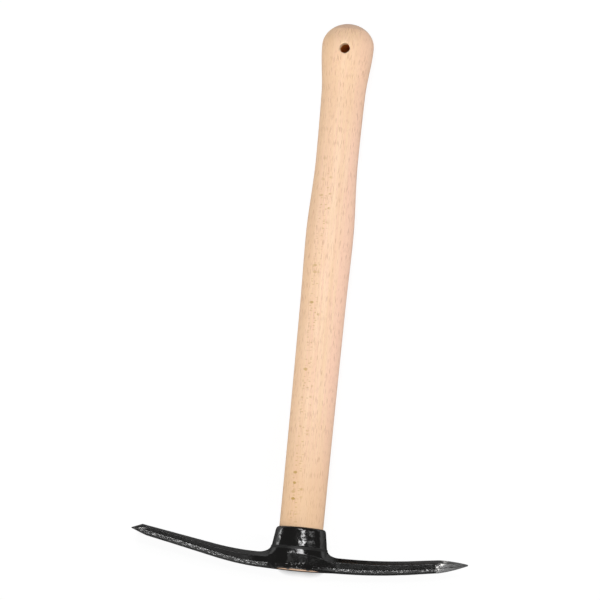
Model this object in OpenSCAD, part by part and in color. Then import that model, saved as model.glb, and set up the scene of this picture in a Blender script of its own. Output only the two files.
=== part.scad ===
// Hand pick: a forged head with a chisel arm and a point arm, wedged on an oval beech handle.
// The tool lies on its side. X runs along the arms with the point at +X, Y runs along the handle
// with the knob at +Y, and Z is up. The shapes are drawn about the middle of the collar's rim and
// then set down with the middle of the tool's footprint at the origin.

/* [Handle] */
// Length from the collar's rim to the top of the knob
handle_length = 461.5; // [340:0.5:900]
// Distance from the top of the knob down to the middle of the shank
shank_drop = 261.5; // [240:0.5:320]
// Width of the shank at its middle
shank_w = 41.4; // [36:0.1:46]
// Depth of the shank at its middle
shank_d = 31.2; // [26:0.1:36]
// Distance from the top of the knob down to the belly
belly_drop = 195.5; // [170:0.5:230]
// Width of the belly
belly_w = 43.3; // [38:0.1:50]
// Depth of the belly
belly_d = 33; // [27:0.1:40]
// Distance from the top of the knob down to the waist
waist_drop = 126.5; // [105:0.5:150]
// Width of the waist
waist_w = 38.4; // [32:0.1:44]
// Depth of the waist
waist_d = 31; // [25:0.1:38]
// Distance from the top of the knob down to where the grip starts to flare
flare_drop = 65.5; // [50:0.5:90]
// Width where the grip starts to flare
flare_w = 39.9; // [33:0.1:46]
// Depth where the grip starts to flare
flare_d = 32.4; // [26:0.1:40]

/* [Knob] */
// Width of the knob
knob_w = 47.2; // [41:0.1:60]
// Depth of the knob
knob_d = 40; // [34:0.1:50]
// Height of the knob's domed end
dome_h = 20.8; // [10:0.1:26]
// Diameter of the hanging hole
hole_d = 9.5; // [5:0.5:16]
// Distance from the top of the knob down to the hanging hole
hole_drop = 25.5; // [20:0.5:40]

/* [Eye and collar] */
// Height of the eye from the collar's rim to its foot
eye_h = 38; // [34:0.5:50]
// Width of the eye's hole
eye_w = 40; // [32:0.1:46]
// Depth of the eye's hole at the rim
eye_d = 30.3; // [24:0.1:33]
// Depth of the eye's hole at the foot, where the wedges spread the tenon
eye_foot_d = 32.4; // [28:0.1:36]
// Wall of the collar at its rim
rim_wall = 2.4; // [1:0.1:4]
// How far the rounding of the rim comes in
rim_round = 1.9; // [0.4:0.1:3]
// How far the rounding of the rim comes down
rim_drop = 3; // [0.5:0.1:6]
// Height of the collar above the shoulder of the eye
collar_h = 17.2; // [10:0.1:20]
// Wall of the collar at its foot, towards the arms
collar_foot_wall = 5.15; // [3:0.05:8]
// Wall of the collar at its foot, towards the cheeks
collar_side_wall = 3.35; // [2:0.05:4.5]
// Wall of the two flat cheeks at the foot of the eye
cheek_wall = 3.8; // [2.8:0.1:8]
// Width of a flat cheek
cheek_w = 14; // [6:0.5:20]
// Height of the slope from a flat cheek up to the shoulder
cheek_slope = 7.2; // [3:0.1:9]
// Distance from the eye's axis at which the eye has narrowed to the arms
eye_reach = 40; // [34:0.5:55]
// Reach of the round web between collar and arms
web_reach = 12; // [6:0.5:20]
// Flat rim that the chamfer leaves beside the eye's foot
foot_rim = 1.8; // [0.8:0.1:2.6]

/* [Arms] */
// Height of an arm at its root
arm_h = 13.8; // [10:0.1:17]
// Depth of an arm at its root
arm_d = 16; // [12:0.1:22]
// Height of the forged chamfers along the arms
chamfer_h = 4.2; // [1:0.1:4.6]
// Width of the flat on the top and underside of an arm
arm_flat = 7; // [3:0.1:10]
// Rounding of the forged edges
edge_round = 1.2; // [0.2:0.1:1.6]

/* [Chisel arm] */
// Reach of the chisel edge from the eye's axis
chisel_reach = 151.5; // [110:0.5:240]
// Distance from the eye's axis at which the chisel arm starts to bend
chisel_bend_at = 28; // [10:0.5:60]
// Radius of the chisel arm's bend
chisel_bend_r = 248; // [150:1:600]
// Angle that the chisel arm is swept towards the handle
chisel_sweep = 11.1; // [0:0.1:16]
// Thickness of the chisel arm where its bevel starts
chisel_h = 8.6; // [4:0.1:12]
// Width of the chisel edge
chisel_w = 31; // [18:0.5:60]
// Length of the bevel on the side of the handle
bevel_l = 9.5; // [4:0.5:20]
// Height that the underside rises along the bevel
bevel_lift = 2; // [0:0.1:3]
// Thickness left at the chisel edge
edge_h = 0.8; // [0.4:0.1:2]
// Chamfer left along the sides of the blade at the chisel edge
blade_chamfer = 0.9; // [0.3:0.1:2]
// Height of the chamfers under the blade
blade_under = 4.6; // [0.5:0.1:5]

/* [Point arm] */
// Reach of the point from the eye's axis
point_reach = 153; // [110:0.5:240]
// Distance from the eye's axis at which the point arm starts to bend
point_bend_at = 40; // [10:0.5:60]
// Radius of the point arm's bend
point_bend_r = 490; // [200:1:900]
// Angle that the point arm is swept towards the handle
point_sweep = 7.4; // [0:0.1:14]
// Height of the point arm where the ground point starts
point_h = 11.7; // [8:0.1:15]
// Depth of the point arm where the ground point starts
point_d = 13; // [8:0.1:18]
// Length of the ground point
point_l = 27; // [14:0.5:45]
// Size left at the tip of the point
tip_size = 1.2; // [0.6:0.1:3]

/* [Wedges] */
// Clearance all round between the tenon and the eye
eye_fit = 0.15; // [0.05:0.01:0.3]
// Clearance on each side of a wedge
wedge_fit = 0.06; // [0.02:0.01:0.15]
// How far the end of the tenon stays inside the foot of the eye
end_recess = 0.8; // [0:0.1:3]
// Length of the wooden wedge
wood_wedge_l = 30; // [26:0.5:33]
// Thickness of the wooden wedge at its head
wood_wedge_h = 4.4; // [2.5:0.1:6]
// Thickness of the wooden wedge at its thin end
wood_wedge_tip = 1.2; // [0.6:0.1:2]
// Gap between each end of the wooden wedge and the wall of the eye
wood_wedge_gap = 0.7; // [0.5:0.1:3]
// Length of a steel wedge
steel_wedge_l = 22; // [12:0.5:24]
// Width of a steel wedge across the wooden one
steel_wedge_w = 18; // [12:0.5:22]
// Thickness of a steel wedge at its head
steel_wedge_h = 3; // [1.5:0.1:4]
// Thickness of a steel wedge at its thin end
steel_wedge_tip = 0.8; // [0.4:0.1:1.2]
// Distance between the two steel wedges
steel_wedge_gap = 18; // [10:0.5:20]

/* [Hidden] */
black_lacquer = [0.11, 0.10, 0.10];
beech = [0.93, 0.80, 0.66];
wedge_wood = [0.80, 0.66, 0.48];
wedge_steel = [0.62, 0.63, 0.64];

// Steps of the skins: sides of an oval, then rings along each stretch
oval_sides = 48;
curve_steps = 10;
dome_steps = 12;
collar_steps = 5;
rim_steps = 4;
cheek_steps = 3;
eye_steps = 6;
web_steps = 6;
end_steps = 8;
// Length of one step along an arm
arm_step = 6;
// Overrun of a cut past the face that it opens
overrun = 1;
// How full the outline of the ground point is: 1 is a straight taper
point_fullness = 1.5;
// How late the chisel arm flares: 1 is a straight flare
flare_lateness = 1.5;
// Largest shares of an arm's height that an upper chamfer, a lower chamfer and a rounding take
chamfer_share = 0.4;
under_share = 0.45;
round_share = 0.12;
// Least land beside a flat or a rounding
least_land = 0.2;
// Share of the knob's size that is left flat at the very top
top_share = 0.05;

// Outer sizes of the collar and the eye
collar_w = eye_w + 2 * rim_wall;
collar_d = eye_d + 2 * rim_wall;
collar_foot_w = eye_w + 2 * collar_foot_wall;
collar_foot_d = eye_d + 2 * collar_side_wall;
cheek_d = eye_foot_d + 2 * cheek_wall;
rim_in = min(rim_round, rim_wall - least_land);
foot_flat = eye_foot_d / 2 + min(foot_rim, cheek_wall - least_land);

// Set-down of the tool: middle of its footprint and the height of its axis
middle_x = (point_reach - chisel_reach) / 2;
middle_y = (handle_length - eye_h) / 2;
axis_z = max(cheek_d, knob_d, chisel_w) / 2;

// Key places of the head
arm_top = arm_h - eye_h;
arm_mid = arm_top - arm_h / 2;
shoulder = -collar_h;
web_drop = shoulder - arm_top;
web_end = collar_foot_w / 2 + web_reach;
bevel_at = chisel_reach - bevel_l;
point_at = point_reach - point_l;

// Tenon and wedges
neck_w = eye_w - 2 * eye_fit;
neck_d = eye_d - 2 * eye_fit;
tenon_end = end_recess - eye_h;
wood_wedge_w = eye_w - 2 * wood_wedge_gap;

// Stations of the handle above the rim: place, width, depth
dome_at = handle_length - dome_h;
SHAPE = [
    [0, neck_w, neck_d],
    [handle_length - shank_drop, shank_w, shank_d],
    [handle_length - belly_drop, belly_w, belly_d],
    [handle_length - waist_drop, waist_w, waist_d],
    [handle_length - flare_drop, flare_w, flare_d],
    [dome_at, knob_w, knob_d]
];

// Value that runs from a to b as t runs from 0 to 1
function mix(a, b, t) = a + (b - a) * t;

// t held between 0 and 1
function held(t) = max(0, min(1, t));

// Step from 0 to 1 with level ends
function ease(t) = let (u = held(t)) u * u * (3 - 2 * u);

// Rise of an arm that is straight to at, bends with radius r and runs on at angle sweep
function bend(x, at, r, sweep) =
    let (bend_end = at + r * sin(sweep))
    x <= at ? 0
    : x < bend_end ? r - sqrt(r * r - (x - at) * (x - at))
    : r * (1 - cos(sweep)) + (x - bend_end) * tan(sweep);

// Rise of the web towards the collar at distance x from the eye's axis
function web(x) =
    let (q = held((web_end - x) / web_reach))
    web_drop * (1 - sqrt(1 - q * q));

// Share of the eye in the head's depth at distance x: 1 on the cheek, 0 on the arms
function eye_share(x) = 1 - ease((x - cheek_w / 2) / (eye_reach - cheek_w / 2));

// Half depth of the collar's foot at distance x from the eye's axis
function collar_half(x) =
    let (q = held(2 * x / collar_foot_w))
    collar_foot_d / 2 * sqrt(1 - q * q);

// Middle and half thickness of the chisel arm before its bevel
function chisel_mid(x) = arm_mid + bend(x, chisel_bend_at, chisel_bend_r, chisel_sweep);
function chisel_half(x) = mix(arm_h, chisel_h, held((x - web_end) / (bevel_at - web_end))) / 2;

// Section of the chisel arm at distance x:
// [top, foot, half depth, chamfer height, half flat, lower chamfer height, lower half flat]
function chisel_section(x) =
    let (t = held((x - bevel_at) / bevel_l))
    let (along = held((x - eye_reach) / (chisel_reach - eye_reach)))
    let (foot = chisel_mid(x) - chisel_half(x) + bevel_lift * t)
    let (edge_top = chisel_mid(chisel_reach) - chisel_h / 2 + bevel_lift + edge_h)
    let (bevel_top = chisel_mid(bevel_at) + chisel_h / 2)
    let (top = x < bevel_at ? chisel_mid(x) + chisel_half(x) : mix(bevel_top, edge_top, t))
    let (half = mix(arm_d, chisel_w, pow(along, flare_lateness)) / 2)
    let (chamfer = min(mix(chamfer_h, blade_chamfer, along), chamfer_share * (top - foot)))
    let (inset = mix((arm_d - arm_flat) / 2, blade_chamfer, along))
    let (under = min(mix(chamfer_h, blade_under, along), under_share * (top - foot)))
    let (under_inset = under * mix((arm_d - arm_flat) / 2 / chamfer_h, 1, along))
    [top, foot, half, chamfer, half - inset, under, half - under_inset];

// Section of the point arm at distance x, in the same order
function point_section(x) =
    let (t = held((x - point_at) / point_l))
    let (along = held((x - web_end) / (point_at - web_end)))
    let (full = 1 - pow(t, point_fullness))
    let (mid = arm_mid + bend(x, point_bend_at, point_bend_r, point_sweep))
    let (high = mix(tip_size, mix(arm_h, point_h, along), full))
    let (deep = mix(tip_size, mix(arm_d, point_d, along), full))
    let (chamfer = min(chamfer_h * high / arm_h, chamfer_share * high))
    let (flat = arm_flat / arm_d * deep / 2)
    [mid + high / 2, mid - high / 2, deep / 2, chamfer, flat, chamfer, flat];

// Outward normal of the edge from a to b of an outline that runs anticlockwise
function outward(a, b) = [b[1] - a[1], a[0] - b[0]] / norm(b - a);

// Outline with each corner rounded by r in two steps
function rounded(points, r) =
    let (n = len(points))
    [for (i = [0 : n - 1])
        let (before = outward(points[(i + n - 1) % n], points[i]))
        let (after = outward(points[i], points[(i + 1) % n]))
        let (lean = before + after)
        let (centre = points[i] - r * lean / (1 + before * after))
        each [centre + r * before, centre + r * lean / norm(lean), centre + r * after]];

// Ring of the head at signed distance x from the eye's axis
function bar_ring(x) =
    let (far = abs(x))
    let (section = x < 0 ? chisel_section(far) : point_section(far))
    let (share = eye_share(far))
    let (top = section[0] + web(far))
    let (foot = section[1])
    let (half = mix(section[2], cheek_d / 2, share))
    let (foot_edge = foot + section[5])
    let (top_edge = top - mix(section[3], cheek_slope, share) - web(far) * (1 - share))
    let (most = half - min(least_land, half / 4))
    let (top_half = min(most, sqrt(pow(collar_half(far), 2) + pow(section[4], 2))))
    let (foot_half = min(most, mix(section[6], foot_flat, share)))
    let (outline = [
        [half, foot_edge], [half, top_edge], [top_half, top], [-top_half, top],
        [-half, top_edge], [-half, foot_edge], [-foot_half, foot], [foot_half, foot]
    ])
    [for (p = rounded(outline, min(edge_round, round_share * (top - foot)))) [x, p[1], p[0]]];

// Oval ring of width w and depth d at height y
function oval_ring(y, w, d) =
    [for (i = [0 : oval_sides - 1])
        let (a = 360 * i / oval_sides)
        [w / 2 * cos(a), y, d / 2 * sin(a)]];

// Ring of the collar at height y, drawn in by inset
function collar_ring(y, inset) =
    let (up = (y - shoulder) / collar_h)
    oval_ring(y, mix(collar_foot_w, collar_w, up) - 2 * inset, mix(collar_foot_d, collar_d, up) - 2 * inset);

// Slope of column c at station i, level at the ends and at a widest or narrowest place
function slope(i, c) =
    i == 0 || i == len(SHAPE) - 1 ? 0
    : let (a = (SHAPE[i][c] - SHAPE[i - 1][c]) / (SHAPE[i][0] - SHAPE[i - 1][0]))
      let (b = (SHAPE[i + 1][c] - SHAPE[i][c]) / (SHAPE[i + 1][0] - SHAPE[i][0]))
      a * b <= 0 ? 0 : 2 * a * b / (a + b);

// Smooth curve of column c between stations i and i + 1 at share t
function curve(i, c, t) =
    let (gap = SHAPE[i + 1][0] - SHAPE[i][0])
    let (u = 1 - t)
    SHAPE[i][c] * u * u * (1 + 2 * t) + SHAPE[i + 1][c] * t * t * (3 - 2 * t)
    + gap * t * u * (slope(i, c) * u - slope(i + 1, c) * t);

// Depth of the eye's hole at height y
function eye_depth(y) = mix(eye_d, eye_foot_d, -y / eye_h);

// Distances from the eye's axis of the rings on one side, from the eye to the end of the arm
function stations(reach, end_l) =
    let (arm_steps = ceil((reach - end_l - web_end) / arm_step))
    concat(
        [for (i = [1 : cheek_steps]) cheek_w / 2 * i / cheek_steps],
        [for (i = [1 : eye_steps]) mix(cheek_w / 2, collar_foot_w / 2, i / eye_steps)],
        [for (i = [1 : web_steps]) web_end - web_reach * cos(90 * i / web_steps)],
        [for (i = [1 : arm_steps]) mix(web_end, reach - end_l, i / arm_steps)],
        [for (i = [1 : end_steps]) mix(reach - end_l, reach, i / end_steps)]
    );

// Solid skinned over rings that follow each other, closed at both ends
module skin(rings) {
    sides = len(rings[0]);
    last = len(rings) - 1;
    polyhedron(
        points = [for (ring = rings) each ring],
        faces = [
            [for (i = [sides - 1 : -1 : 0]) i],
            for (k = [0 : last - 1]) for (i = [0 : sides - 1])
                let (j = (i + 1) % sides)
                each [[k * sides + i, k * sides + j, (k + 1) * sides + i],
                      [k * sides + j, (k + 1) * sides + j, (k + 1) * sides + i]],
            [for (i = [0 : sides - 1]) last * sides + i]
        ]
    );
}

// Sets a shape drawn about the rim down in the tool's frame
module set_down() {
    translate([-middle_x, -middle_y, axis_z]) children();
}

// Arms and eye of the head as one bar
module bar() {
    chisel_xs = stations(chisel_reach, bevel_l);
    point_xs = stations(point_reach, point_l);
    backwards = [for (i = [len(chisel_xs) - 1 : -1 : 0]) -chisel_xs[i]];
    skin([for (x = concat(backwards, [0], point_xs)) bar_ring(x)]);
}

// Collar that rises from the eye and grips the handle, rounded at its rim
module collar() {
    skin(concat(
        [oval_ring(shoulder - web_drop / 2, collar_foot_w, collar_foot_d)],
        [for (i = [0 : collar_steps]) collar_ring(mix(shoulder, -rim_drop, i / collar_steps), 0)],
        [for (i = [1 : rim_steps])
            let (a = 90 * i / rim_steps)
            collar_ring(rim_drop * (sin(a) - 1), rim_in * (1 - cos(a)))]
    ));
}

// Wedge outline: thick head at the origin, thin end at length l, grown by fit on its sides and end
module wedge_outline(head, tip, l, fit) {
    polygon([
        [-head / 2 - fit, 0], [head / 2 + fit, 0], [tip / 2 + fit, l + fit], [-tip / 2 - fit, l + fit]
    ]);
}

// Steel wedge across the wooden one, on the side of the chisel (-1) or of the point (1)
module steel_wedge(side, fit) {
    translate([side * steel_wedge_gap / 2, tenon_end, -steel_wedge_w / 2 - fit])
        linear_extrude(steel_wedge_w + 2 * fit)
            wedge_outline(steel_wedge_h, steel_wedge_tip, steel_wedge_l, fit);
}

// Wooden wedge of the given width along the arms
module wood_wedge(width, fit) {
    translate([width / 2, tenon_end, 0])
        rotate([0, -90, 0])
            linear_extrude(width)
                wedge_outline(wood_wedge_h, wood_wedge_tip, wood_wedge_l, fit);
}

module pick_head() {
    color(black_lacquer) set_down() difference() {
        union() {
            bar();
            collar();
        }
        skin([for (y = [-eye_h - overrun, overrun]) oval_ring(y, eye_w, eye_depth(y))]);
    }
}

module handle() {
    color(beech) set_down() difference() {
        skin(concat(
            [for (y = [tenon_end, tenon_end / 2]) oval_ring(y, neck_w, eye_depth(y) - 2 * eye_fit)],
            [for (i = [0 : len(SHAPE) - 2]) for (k = [0 : curve_steps - 1])
                let (t = k / curve_steps)
                oval_ring(mix(SHAPE[i][0], SHAPE[i + 1][0], t), curve(i, 1, t), curve(i, 2, t))],
            [for (k = [0 : dome_steps - 1])
                let (a = 90 * k / dome_steps)
                oval_ring(dome_at + dome_h * sin(a), knob_w * cos(a), knob_d * cos(a))],
            [oval_ring(handle_length, knob_w * top_share, knob_d * top_share)]
        ));
        translate([0, handle_length - hole_drop, -knob_d / 2 - overrun])
            cylinder(d = hole_d, h = knob_d + 2 * overrun);
        wood_wedge(neck_w + 2 * overrun, wedge_fit);
        steel_wedge(-1, wedge_fit);
        steel_wedge(1, wedge_fit);
    }
}

module wooden_wedge() {
    color(wedge_wood) set_down() difference() {
        wood_wedge(wood_wedge_w, 0);
        steel_wedge(-1, wedge_fit);
        steel_wedge(1, wedge_fit);
    }
}

module steel_wedge_chisel_side() {
    color(wedge_steel) set_down() steel_wedge(-1, 0);
}

module steel_wedge_point_side() {
    color(wedge_steel) set_down() steel_wedge(1, 0);
}

pick_head();
handle();
wooden_wedge();
steel_wedge_chisel_side();
steel_wedge_point_side();
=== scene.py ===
"""Hand pick: a forged black head, wedged on an oval beech handle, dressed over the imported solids."""

import math

import bmesh
import bpy
from mathutils import Matrix, Vector, noise


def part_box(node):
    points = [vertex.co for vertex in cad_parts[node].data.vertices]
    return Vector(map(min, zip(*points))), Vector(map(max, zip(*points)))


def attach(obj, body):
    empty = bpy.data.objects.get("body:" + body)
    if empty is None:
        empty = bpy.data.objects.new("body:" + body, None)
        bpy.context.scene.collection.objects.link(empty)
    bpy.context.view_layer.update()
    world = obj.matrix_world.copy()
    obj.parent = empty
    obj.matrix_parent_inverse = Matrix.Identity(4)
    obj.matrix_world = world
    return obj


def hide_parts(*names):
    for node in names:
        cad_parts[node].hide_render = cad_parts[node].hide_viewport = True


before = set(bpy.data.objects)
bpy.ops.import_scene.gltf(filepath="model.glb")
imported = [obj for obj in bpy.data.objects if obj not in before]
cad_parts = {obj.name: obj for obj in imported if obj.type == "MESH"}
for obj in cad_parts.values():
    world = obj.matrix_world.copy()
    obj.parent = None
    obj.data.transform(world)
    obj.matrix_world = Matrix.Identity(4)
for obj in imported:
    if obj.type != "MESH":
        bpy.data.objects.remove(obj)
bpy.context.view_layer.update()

bl_info = {
    "name": "Hand Pick",
    "version": (1, 0, 0),
    "blender": (4, 5, 0),
    "location": "View3D > Sidebar > Hand Pick",
    "description": "Builds a forged hand pick on a beech handle, with its stage",
    "category": "Object",
}

MM = 0.001
HANDLE_LOW, HANDLE_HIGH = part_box("handle")
HEAD_LOW, HEAD_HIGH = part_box("pick_head")

# Middle of the collar's rim, about which every piece is drawn
RIM = Vector((
    (HANDLE_LOW.x + HANDLE_HIGH.x) / 2,
    HEAD_HIGH.y,
    (HANDLE_LOW.z + HANDLE_HIGH.z) / 2,
))


def length(name, description, default):
    """Property for a length in metres."""
    return bpy.props.FloatProperty(
        name=name, description=description, default=default, precision=5, unit="LENGTH"
    )


def angle(name, description, degrees):
    """Property for an angle, given in degrees and kept in radians."""
    return bpy.props.FloatProperty(
        name=name, description=description, default=math.radians(degrees), unit="ROTATION"
    )


def colour(name, description, default):
    """Property for a linear colour."""
    return bpy.props.FloatVectorProperty(
        name=name, description=description, default=default, subtype="COLOR",
        size=3, min=0.0, max=1.0,
    )


def number(name, description, default):
    """Property for a plain number."""
    return bpy.props.FloatProperty(name=name, description=description, default=default)


class HandleSizes(bpy.types.PropertyGroup):
    """Sizes of the handle above and below the collar's rim."""

    tenon_depth: length("Tenon depth", "Depth of the tenon below the rim", RIM.y - HANDLE_LOW.y)
    tenon_width: length("Tenon width", "Width of the tenon in the eye", 0.0397)
    tenon_foot: length("Tenon foot", "Thickness of the tenon at its end", 0.03206)
    tenon_thickness: length("Tenon thickness", "Thickness of the tenon at the rim", 0.03)
    shank_place: length("Shank place", "Height of the shank's middle above the rim", 0.2)
    shank_width: length("Shank width", "Width at the shank's middle", 0.0414)
    shank_thickness: length("Shank thickness", "Thickness at the shank's middle", 0.0312)
    belly_place: length("Belly place", "Height of the belly above the rim", 0.266)
    belly_width: length("Belly width", "Width of the belly", 0.0433)
    belly_thickness: length("Belly thickness", "Thickness of the belly", 0.033)
    waist_place: length("Waist place", "Height of the waist above the rim", 0.335)
    waist_width: length("Waist width", "Width of the waist", 0.0384)
    waist_thickness: length("Waist thickness", "Thickness of the waist", 0.031)
    flare_place: length("Flare place", "Height above the rim where the grip starts to flare", 0.396)
    flare_width: length("Flare width", "Width where the grip starts to flare", 0.0399)
    flare_thickness: length("Flare thickness", "Thickness where the grip starts to flare", 0.0324)
    top: length("Top", "Height of the knob's top above the rim", HANDLE_HIGH.y - RIM.y)
    dome: length("Dome", "Height of the knob's domed end", 0.0208)
    knob_width: length("Knob width", "Width of the knob", HANDLE_HIGH.x - HANDLE_LOW.x)
    knob_thickness: length("Knob thickness", "Thickness of the knob", HANDLE_HIGH.z - HANDLE_LOW.z)
    hole_drop: length("Hole drop", "Distance from the top down to the hanging hole", 0.0255)
    hole_radius: length("Hole radius", "Radius of the hanging hole", 0.00475)
    hole_round: length("Hole round", "Rounding of the hanging hole's mouth", 0.0004)


class HeadSizes(bpy.types.PropertyGroup):
    """Sizes of the forged head."""

    eye_height: length("Eye height", "Height from the rim to the eye's foot", RIM.y - HEAD_LOW.y)
    eye_width: length("Eye width", "Width of the eye's hole", 0.04)
    eye_rim: length("Eye at rim", "Thickness of the eye's hole at the rim", 0.0303)
    eye_foot: length("Eye at foot", "Thickness of the eye's hole at its foot", 0.0324)
    rim_wall: length("Rim wall", "Wall of the collar at its rim", 0.0024)
    rim_round: length("Rim round", "How far the rim's rounding comes in", 0.0019)
    rim_drop: length("Rim drop", "How far the rim's rounding comes down", 0.003)
    collar_height: length("Collar height", "Height of the collar above the shoulder", 0.0172)
    collar_foot_wall: length("Collar foot wall", "Wall at the collar's foot, to the arms", 0.00515)
    collar_side_wall: length("Collar side wall", "Wall at the collar's foot, to the cheeks", 0.00335)
    cheek_wall: length("Cheek wall", "Wall of the flat cheeks", 0.0038)
    cheek_width: length("Cheek width", "Width of a flat cheek", 0.014)
    cheek_slope: length("Cheek slope", "Height of the slope from a cheek up to the shoulder", 0.0072)
    eye_reach: length("Eye reach", "Where the eye has narrowed to the arms", 0.04)
    web_reach: length("Web reach", "Reach of the web between collar and arms", 0.012)
    foot_rim: length("Foot rim", "Flat rim beside the eye's foot", 0.0018)
    arm_height: length("Arm height", "Height of an arm at its root", 0.0138)
    arm_thickness: length("Arm thickness", "Thickness of an arm at its root", 0.016)
    chamfer: length("Chamfer", "Height of the forged chamfers", 0.0042)
    arm_flat: length("Arm flat", "Flat on the top and underside of an arm", 0.007)
    edge_round: length("Edge round", "Rounding of the forged edges", 0.0012)
    chisel_reach: length("Chisel reach", "Reach of the chisel edge", 0.1515)
    chisel_bend_at: length("Chisel bend at", "Where the chisel arm starts to bend", 0.028)
    chisel_bend_radius: length("Chisel bend radius", "Radius of the chisel arm's bend", 0.248)
    chisel_sweep: angle("Chisel sweep", "Sweep of the chisel arm", 11.1)
    chisel_height: length("Chisel height", "Thickness where the bevel starts", 0.0086)
    chisel_width: length("Chisel width", "Width of the chisel edge", 0.031)
    bevel_length: length("Bevel length", "Length of the chisel's bevel", 0.0095)
    bevel_lift: length("Bevel lift", "Rise of the underside along the bevel", 0.002)
    chisel_edge: length("Chisel edge", "Thickness left at the chisel edge", 0.0008)
    blade_chamfer: length("Blade chamfer", "Chamfer at the sides of the blade", 0.0009)
    blade_under: length("Blade under", "Chamfer under the blade", 0.0046)
    point_reach: length("Point reach", "Reach of the point", 0.153)
    point_bend_at: length("Point bend at", "Where the point arm starts to bend", 0.04)
    point_bend_radius: length("Point bend radius", "Radius of the point arm's bend", 0.49)
    point_sweep: angle("Point sweep", "Sweep of the point arm", 7.4)
    point_height: length("Point height", "Height where the ground point starts", 0.0117)
    point_thickness: length("Point thickness", "Thickness where the ground point starts", 0.013)
    point_length: length("Point length", "Length of the ground point", 0.027)
    tip_size: length("Tip size", "Size left at the tip", 0.0012)
    forge_swell: length("Forge swell", "Depth of the broad hollows left by forging", 0.00016)
    forge_dent: length("Forge dent", "Depth of the small hammer dents", 0.0001)


class WedgeSizes(bpy.types.PropertyGroup):
    """Sizes of the wedges that spread the tenon."""

    clearance: length("Clearance", "Clearance on each side of a wedge", 0.00006)
    wood_length: length("Wooden wedge length", "Length of the wooden wedge", 0.03)
    wood_head: length("Wooden wedge head", "Thickness of the wooden wedge at its head", 0.0044)
    wood_tip: length("Wooden wedge tip", "Thickness of the wooden wedge at its thin end", 0.0012)
    wood_width: length("Wooden wedge width", "Width of the wooden wedge", 0.0386)
    steel_length: length("Steel wedge length", "Length of a steel wedge", 0.022)
    steel_head: length("Steel wedge head", "Thickness of a steel wedge at its head", 0.003)
    steel_tip: length("Steel wedge tip", "Thickness of a steel wedge at its thin end", 0.0008)
    steel_width: length("Steel wedge width", "Width of a steel wedge", 0.018)
    steel_gap: length("Steel wedge gap", "Distance between the two steel wedges", 0.018)
    edge_break: length("Edge break", "Width of the broken edges", 0.00015)


class Finishes(bpy.types.PropertyGroup):
    """Colours of the finishes."""

    beech_pale: colour("Beech pale", "Main colour of the beech", (0.945, 0.68, 0.485))
    beech_warm: colour("Beech warm", "Darker streaks of the beech", (0.87, 0.585, 0.385))
    beech_edge: colour("Beech edge", "Browner growth along one side", (0.80, 0.53, 0.315))
    beech_yellow: colour("Beech yellow", "Yellower lines of the beech", (0.92, 0.675, 0.43))
    beech_pink: colour("Beech pink", "Pinker growth along the other side", (0.93, 0.60, 0.465))
    beech_end: colour("Beech end", "End grain of the beech", (0.70, 0.47, 0.345))
    beech_pore: colour("Beech pore", "Short pores along the grain", (0.52, 0.26, 0.15))
    # Painted light and painted shade in the hanging hole: a pale rim at its near mouth stands in for the light on
    # it, and a dark orange wall deeper in stands in for the shade inside it
    beech_rim_painted_light: colour("Beech fresh", "Freshly cut rim of the hanging hole", (0.97, 0.77, 0.54))
    beech_hole_painted_shade: colour("Beech bore", "Scorched wall of the drilled hole", (0.72, 0.27, 0.03))
    beech_fleck: colour("Beech fleck", "Ray flecks across the grain", (0.53, 0.32, 0.08))
    wedge_pale: colour("Wedge pale", "Main colour of the wooden wedge", (0.52, 0.35, 0.20))
    wedge_dark: colour("Wedge dark", "Pores of the wooden wedge", (0.22, 0.12, 0.06))
    wedge_steel: colour("Wedge steel", "Rolled steel of the small wedges", (0.45, 0.45, 0.46))
    lacquer: colour("Lacquer", "Black lacquer of the head", (0.004, 0.0037, 0.0034))
    steel: colour("Ground steel", "Bare steel of the point", (0.16, 0.16, 0.16))
    steel_dark: colour("Steel dark", "Darker marks in the steel", (0.11, 0.109, 0.107))
    steel_chip: colour("Steel chip", "Bright chips along the border of the lacquer", (0.52, 0.515, 0.50))
    floor: colour("Floor", "Colour of the floor", (0.82, 0.82, 0.82))


class StageView(bpy.types.PropertyGroup):
    """Camera of the stage."""

    swing: angle("Swing", "Turn of the camera towards the point", 9.0)
    dip: angle("Dip", "Lean of the camera towards the head", 7.2)
    roll: angle("Roll", "Turn of the camera about its own axis", 5.587)
    distance: length("Distance", "Distance from the camera to its aim", 4.0)
    lens: number("Lens", "Focal length in millimetres on a 36 mm sensor", 265.43)
    aim: bpy.props.FloatVectorProperty(
        name="Aim", description="Place that the camera looks at",
        default=(-0.02204, -0.00599, 0.02013), precision=5, subtype="TRANSLATION",
    )


class HandPick(bpy.types.PropertyGroup):
    """Everything that a user can set on the hand pick."""

    handle: bpy.props.PointerProperty(type=HandleSizes, name="Handle", description="Handle sizes")
    head: bpy.props.PointerProperty(type=HeadSizes, name="Head", description="Head sizes")
    wedges: bpy.props.PointerProperty(type=WedgeSizes, name="Wedges", description="Wedge sizes")
    finishes: bpy.props.PointerProperty(type=Finishes, name="Finishes", description="Colours")
    view: bpy.props.PointerProperty(type=StageView, name="View", description="Camera")


def operation(kind, turned=False):
    """Method of a wire that adds a math node of one kind."""

    def method(self, *others):
        values = (self, *others)
        return self.graph.math(kind, *(values[::-1] if turned else values))

    return method


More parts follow.
